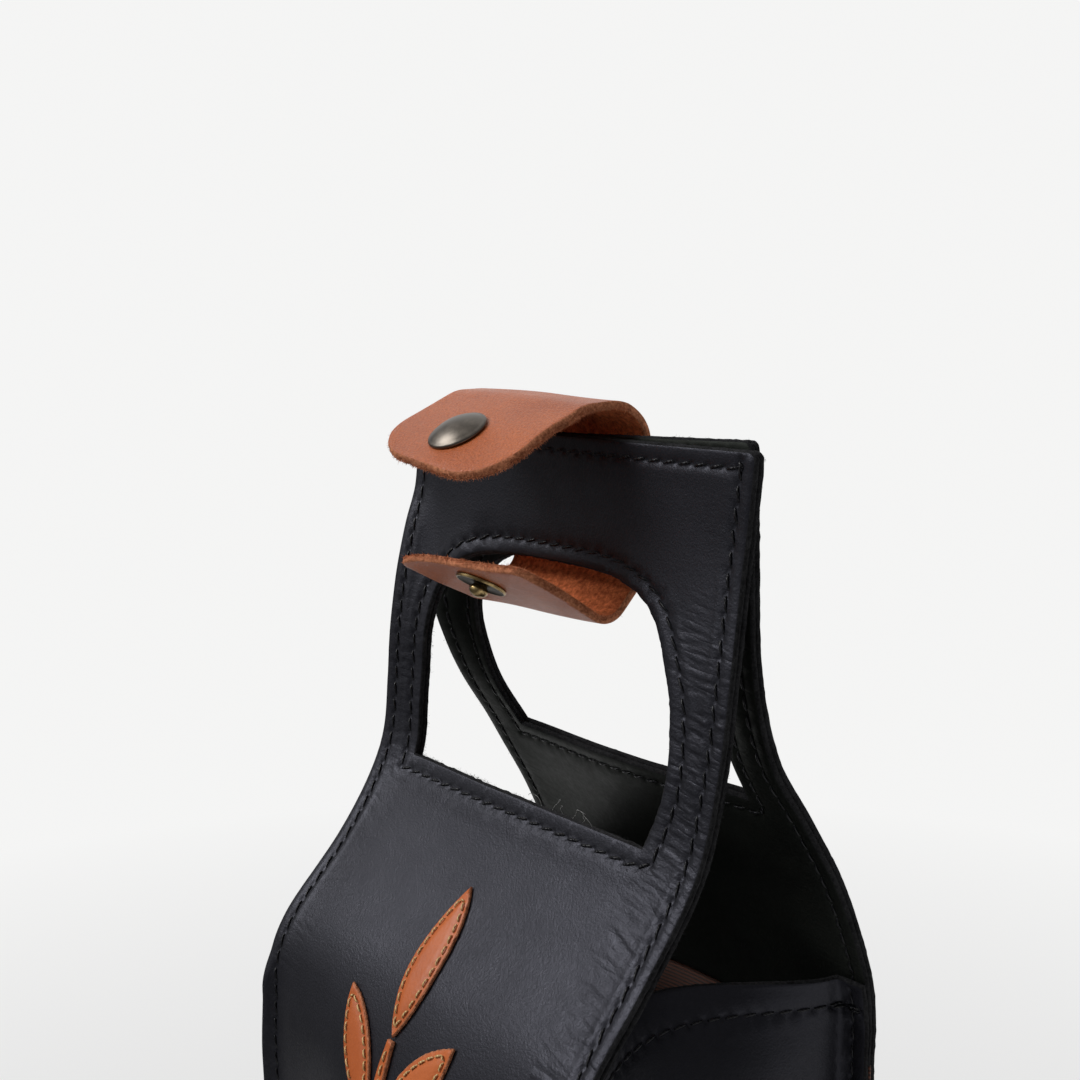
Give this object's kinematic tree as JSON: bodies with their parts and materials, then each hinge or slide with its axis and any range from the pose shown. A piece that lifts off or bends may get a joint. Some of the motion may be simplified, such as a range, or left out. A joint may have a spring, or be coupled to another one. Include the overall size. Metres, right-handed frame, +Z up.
{
  "type": "bottle carrier",
  "caption": "Tall narrow leather carrier for one bottle, with a hand hole in each flared panel and a snap-closed leather wrap that holds the two handle bars together.",
  "frame": {"origin": "middle of the flat underside, on the surface that the carrier stands on", "axes": "+Z up, X along the width of the panels and their handle bars, -Y the front, where the sewn sprig and the snap are"},
  "size_m": [0.1, 0.0981, 0.3832],
  "materials": {
    "black_leather": "satin, fine grain",
    "tan_leather": "satin, pebbled",
    "lining_cloth": "fine ribbed weave",
    "fibre_board": "raw fibreboard",
    "antique_brass": "dark antique plating",
    "bright_brass": "worn brass",
    "spring_wire": "drawn wire"
  },
  "bodies": {
    "bag": {"front_panel": "black_leather", "back_panel": "black_leather", "front_facing": "black_leather", "back_facing": "black_leather", "front_lining": "lining_cloth", "back_lining": "lining_cloth", "left_gusset": "black_leather", "right_gusset": "black_leather", "left_gusset_lining": "lining_cloth", "right_gusset_lining": "lining_cloth", "base_panel": "black_leather", "base_board": "fibre_board", "base_lining": "lining_cloth", "sprig_stem": "tan_leather", "sprig_leaves": "tan_leather"},
    "wrap": {"wrap_back": "tan_leather"},
    "cap_flap": {"upper_flap": "tan_leather", "snap_cap": "antique_brass", "snap_socket": "antique_brass", "socket_spring": "spring_wire"},
    "stud_flap": {"lower_flap": "tan_leather", "snap_stud": "bright_brass", "snap_post": "antique_brass"}
  },
  "joints": [
    {"name": "wrap_slide", "type": "slide", "parent": "bag", "child": "wrap", "axis": [1, 0, 0], "range_m": [-0.001, 0.007]},
    {"name": "cap_flap_bend", "type": "hinge", "parent": "wrap", "child": "cap_flap", "pos_m": [-0.003, -0.00892, 0.3794], "axis": [1, 0, 0], "range_deg": [0, 68]},
    {"name": "stud_flap_bend", "type": "hinge", "parent": "wrap", "child": "stud_flap", "pos_m": [-0.003, 0.0039, 0.3426], "axis": [1, 0, 0], "range_deg": [-61.5, 0]}
  ]
}
